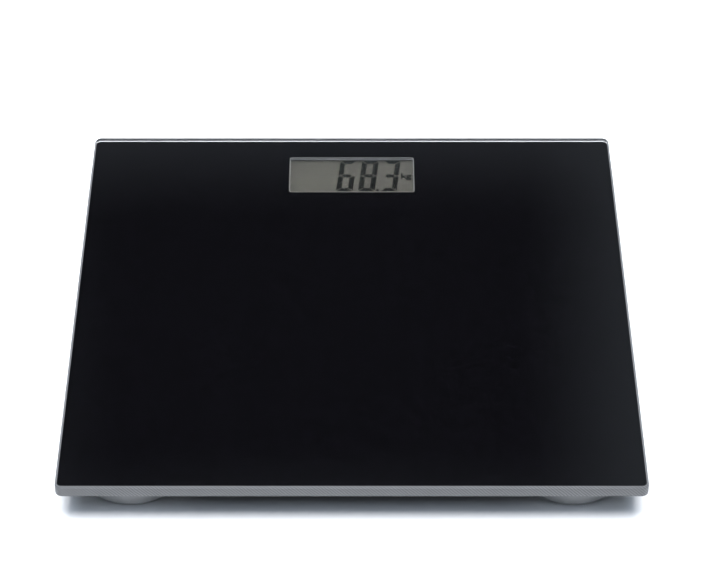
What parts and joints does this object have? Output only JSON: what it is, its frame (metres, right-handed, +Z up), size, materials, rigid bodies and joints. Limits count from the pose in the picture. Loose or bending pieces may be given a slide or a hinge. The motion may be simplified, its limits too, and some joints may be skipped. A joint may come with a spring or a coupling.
{
  "type": "digital bathroom scale",
  "caption": "Flat glass platform on round weighing feet, with a digital display under the glass at its back edge.",
  "frame": {"origin": "on the floor, under the middle of the platform", "axes": "+Z up out of the glass, +X to the user's right, +Y from the user's side to the display"},
  "size_m": [0.285, 0.28, 0.022],
  "materials": {
    "platform_glass": "clear toughened glass with matte ground edges",
    "black_print": "opaque black ink on the underside of the glass",
    "foam_tape": "black foam tape",
    "grey_plastic": "moulded grey plastic with a fine spark texture",
    "dark_plastic": "moulded black plastic",
    "pad_rubber": "matte rubber",
    "steel": "zinc plated and rolled steel",
    "contact_brass": "sheet metal contact",
    "gauge_coat": "white silicone coat",
    "lead_sleeve": "flat three-core lead",
    "board_green": "solder mask over woven glass",
    "chip_epoxy": "black epoxy drop",
    "connector_rubber": "striped contact rubber",
    "display_film": "polariser film",
    "display_glass": "display glass",
    "display_reflector": "satin silver-grey reflector"
  },
  "bodies": {
    "root": {"glass_platform": "platform_glass", "back_print": "black_print", "case_tape": "foam_tape", "case_frame": "grey_plastic", "case_shell": "grey_plastic", "coin_cell": "steel", "cell_holder": "dark_plastic", "battery_positive_clip": "contact_brass", "battery_negative_spring": "contact_brass", "circuit_board": "board_green", "controller_chip": "chip_epoxy", "unit_switch": "dark_plastic", "display_carrier": "dark_plastic", "display_connector": "connector_rubber", "display_polariser": "display_film", "display_upper_glass": "display_glass", "display_lower_glass": "display_glass", "display_reflector": "display_reflector", "case_screw_1": "steel", "case_screw_2": "steel", "case_screw_3": "steel", "case_screw_4": "steel", "foot_tape_front_left": "foam_tape", "foot_housing_front_left": "grey_plastic", "load_cell_front_left": "steel", "strain_gauge_front_left": "gauge_coat", "lead_cover_front_left": "dark_plastic", "sensor_lead_front_left": "lead_sleeve", "foot_tape_front_right": "foam_tape", "foot_housing_front_right": "grey_plastic", "load_cell_front_right": "steel", "strain_gauge_front_right": "gauge_coat", "lead_cover_front_right": "dark_plastic", "sensor_lead_front_right": "lead_sleeve", "foot_tape_back_left": "foam_tape", "foot_housing_back_left": "grey_plastic", "load_cell_back_left": "steel", "strain_gauge_back_left": "gauge_coat", "lead_cover_back_left": "dark_plastic", "sensor_lead_back_left": "lead_sleeve", "foot_tape_back_right": "foam_tape", "foot_housing_back_right": "grey_plastic", "load_cell_back_right": "steel", "strain_gauge_back_right": "gauge_coat", "lead_cover_back_right": "dark_plastic", "sensor_lead_back_right": "lead_sleeve"},
    "battery_door": {"battery_door": "grey_plastic"},
    "unit_button": {"unit_button": "grey_plastic", "switch_plunger": "dark_plastic"},
    "front_left_foot": {"foot_cap_front_left": "grey_plastic", "foot_pad_front_left": "pad_rubber"},
    "front_right_foot": {"foot_cap_front_right": "grey_plastic", "foot_pad_front_right": "pad_rubber"},
    "back_left_foot": {"foot_cap_back_left": "grey_plastic", "foot_pad_back_left": "pad_rubber"},
    "back_right_foot": {"foot_cap_back_right": "grey_plastic", "foot_pad_back_right": "pad_rubber"}
  },
  "joints": [
    {"name": "front_left_foot_play", "type": "slide", "parent": "root", "child": "front_left_foot", "axis": [0, 0, -1], "range_m": [0, 0.0005]},
    {"name": "front_right_foot_play", "type": "slide", "parent": "root", "child": "front_right_foot", "axis": [0, 0, -1], "range_m": [0, 0.0005]},
    {"name": "back_left_foot_play", "type": "slide", "parent": "root", "child": "back_left_foot", "axis": [0, 0, -1], "range_m": [0, 0.0005]},
    {"name": "back_right_foot_play", "type": "slide", "parent": "root", "child": "back_right_foot", "axis": [0, 0, -1], "range_m": [0, 0.0005]},
    {"name": "unit_button_press", "type": "slide", "parent": "root", "child": "unit_button", "axis": [0, 0, 1], "range_m": [0, 0.0004], "stiffness_N_per_m": 300},
    {"name": "battery_door_slide", "type": "slide", "parent": "root", "child": "battery_door", "axis": [0, -1, 0], "range_m": [0, 0.03]}
  ]
}
